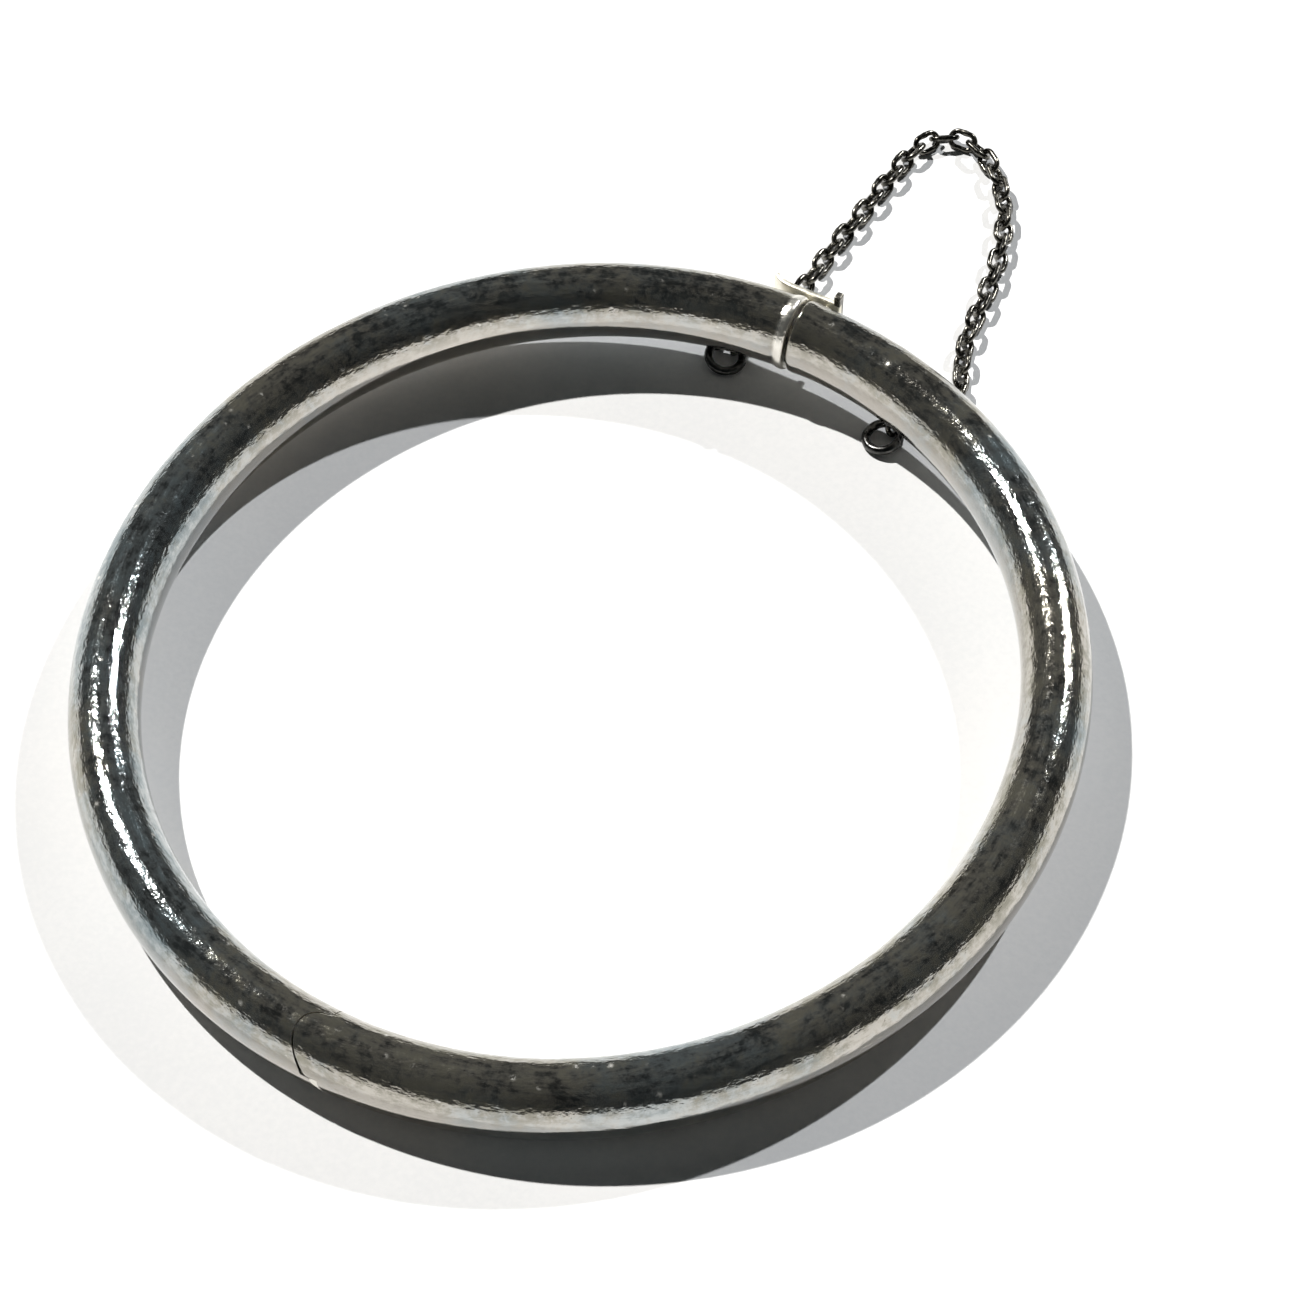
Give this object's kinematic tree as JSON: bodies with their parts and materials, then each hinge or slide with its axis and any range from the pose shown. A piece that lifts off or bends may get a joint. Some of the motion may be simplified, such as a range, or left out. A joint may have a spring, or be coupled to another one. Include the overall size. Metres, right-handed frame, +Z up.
{
  "type": "hinged bangle bracelet",
  "caption": "Oval hollow-tube bangle in two hinged halves, with a spring tongue clasp, a thumb-piece and a fine cable safety chain.",
  "frame": {"origin": "centre of the bounding box in plan, at its lowest point, under the end of the safety chain", "axes": "+Z up out of the wrist opening, +Y from the hinge to the clasp along the longest extent, +X towards the hinged front half"},
  "size_m": [0.0654, 0.0924, 0.0076],
  "materials": {
    "tarnished_silver": "darkened polished silver, mottled tarnish",
    "bright_silver": "rubbed bright silver",
    "soldered_silver": "soldered silver, filed",
    "spring_silver": "hard rolled spring silver, satin",
    "dark_wire": "blackened wire",
    "gunmetal_wire": "gunmetal wire, darkened in the gaps",
    "pin_steel": "turned pin, ends filed flush"
  },
  "bodies": {
    "back_half": {"back_half_tube": "tarnished_silver", "back_hinge_cap": "soldered_silver", "middle_hinge_knuckle": "soldered_silver", "hinge_pin": "pin_steel", "back_clasp_plate": "bright_silver", "back_chain_eyelet": "dark_wire", "tongue_fixed_leaf": "spring_silver"},
    "front_half": {"front_half_tube": "tarnished_silver", "front_hinge_cap": "soldered_silver", "upper_hinge_knuckle": "tarnished_silver", "lower_hinge_knuckle": "soldered_silver", "front_clasp_plate": "soldered_silver", "front_chain_eyelet": "dark_wire"},
    "thumb_lever": {"tongue_spring_leaf": "spring_silver", "thumb_piece": "bright_silver"},
    "back_jump_ring": {"back_jump_ring": "dark_wire"},
    "front_jump_ring": {"front_jump_ring": "dark_wire"},
    "links_01_to_08": {"chain_link_01": "gunmetal_wire", "chain_link_02": "gunmetal_wire", "chain_link_03": "gunmetal_wire", "chain_link_04": "gunmetal_wire", "chain_link_05": "gunmetal_wire", "chain_link_06": "gunmetal_wire", "chain_link_07": "gunmetal_wire", "chain_link_08": "gunmetal_wire"},
    "links_09_to_16": {"chain_link_09": "gunmetal_wire", "chain_link_10": "gunmetal_wire", "chain_link_11": "gunmetal_wire", "chain_link_12": "gunmetal_wire", "chain_link_13": "gunmetal_wire", "chain_link_14": "gunmetal_wire", "chain_link_15": "gunmetal_wire", "chain_link_16": "gunmetal_wire"},
    "links_17_to_20": {"chain_link_17": "gunmetal_wire", "chain_link_18": "gunmetal_wire", "chain_link_19": "gunmetal_wire", "chain_link_20": "gunmetal_wire"},
    "links_21_to_24": {"chain_link_21": "gunmetal_wire", "chain_link_22": "gunmetal_wire", "chain_link_23": "gunmetal_wire", "chain_link_24": "gunmetal_wire"},
    "links_25_to_32": {"chain_link_25": "gunmetal_wire", "chain_link_26": "gunmetal_wire", "chain_link_27": "gunmetal_wire", "chain_link_28": "gunmetal_wire", "chain_link_29": "gunmetal_wire", "chain_link_30": "gunmetal_wire", "chain_link_31": "gunmetal_wire", "chain_link_32": "gunmetal_wire"},
    "links_33_to_40": {"chain_link_33": "gunmetal_wire", "chain_link_34": "gunmetal_wire", "chain_link_35": "gunmetal_wire", "chain_link_36": "gunmetal_wire", "chain_link_37": "gunmetal_wire", "chain_link_38": "gunmetal_wire", "chain_link_39": "gunmetal_wire", "chain_link_40": "gunmetal_wire"},
    "link_41": {"chain_link_41": "gunmetal_wire"}
  },
  "joints": [
    {"name": "main_hinge", "type": "hinge", "parent": "back_half", "child": "front_half", "pos_m": [0, -0.04458, 0.00476], "axis": [0, 0, -1], "range_deg": [0, 38]},
    {"name": "catch_press", "type": "hinge", "parent": "back_half", "child": "thumb_lever", "pos_m": [0.00505, 0.01977, 0.00476], "axis": [0, 0, 1], "range_deg": [0, 2.4], "stiffness_Nm_per_rad": 0.3},
    {"name": "back_ring_swing", "type": "hinge", "parent": "back_half", "child": "back_jump_ring", "pos_m": [-0.00641, 0.01961, 0.00128], "axis": [0, 0, 1], "range_deg": [-19.5, 0]},
    {"name": "chain_joint_01", "type": "hinge", "parent": "back_jump_ring", "child": "links_01_to_08", "pos_m": [-0.00507, 0.01956, 0.00119], "axis": [0, 0, 1], "range_deg": [-63.19, 0]},
    {"name": "chain_joint_09", "type": "hinge", "parent": "links_01_to_08", "child": "links_09_to_16", "pos_m": [-0.00347, 0.03069, 0.00092], "axis": [0, 0, 1], "range_deg": [-12.3, 0]},
    {"name": "chain_joint_17", "type": "hinge", "parent": "links_09_to_16", "child": "links_17_to_20", "pos_m": [-0.00271, 0.04207, 0.00067], "axis": [0, 0, 1], "range_deg": [0, 34.08]},
    {"name": "chain_joint_21", "type": "hinge", "parent": "links_17_to_20", "child": "links_21_to_24", "pos_m": [0.00078, 0.04558, 0.0006], "axis": [0, 0, 1], "range_deg": [0, 34.08]},
    {"name": "chain_joint_25", "type": "hinge", "parent": "links_21_to_24", "child": "links_25_to_32", "pos_m": [0.00501, 0.0419, 0.00074], "axis": [0, 0, 1], "range_deg": [0, 79.1]},
    {"name": "chain_joint_33", "type": "hinge", "parent": "links_25_to_32", "child": "links_33_to_40", "pos_m": [0.00826, 0.03105, 0.00095], "axis": [0, 0, 1], "range_deg": [0, 25.42]},
    {"name": "front_ring_swing", "type": "hinge", "parent": "front_half", "child": "front_jump_ring", "pos_m": [0.00849, 0.01803, 0.00139], "axis": [0, 0, 1], "range_deg": [0, 19.5]},
    {"name": "chain_joint_41", "type": "hinge", "parent": "front_jump_ring", "child": "link_41", "pos_m": [0.00761, 0.01832, 0.00128], "axis": [0, 0, 1], "range_deg": [0, 19.5]}
  ],
  "couplings": [
    {"joint": "back_ring_swing", "follows": "main_hinge", "ratio": -0.5},
    {"joint": "chain_joint_01", "follows": "main_hinge", "ratio": -1.6497},
    {"joint": "chain_joint_09", "follows": "main_hinge", "ratio": -0.31057},
    {"joint": "chain_joint_17", "follows": "main_hinge", "ratio": 0.88371},
    {"joint": "chain_joint_21", "follows": "main_hinge", "ratio": 0.88371},
    {"joint": "chain_joint_25", "follows": "main_hinge", "ratio": 2.0685},
    {"joint": "chain_joint_33", "follows": "main_hinge", "ratio": 0.65576},
    {"joint": "front_ring_swing", "follows": "main_hinge", "ratio": 0.5},
    {"joint": "chain_joint_41", "follows": "main_hinge", "ratio": 0.5}
  ]
}
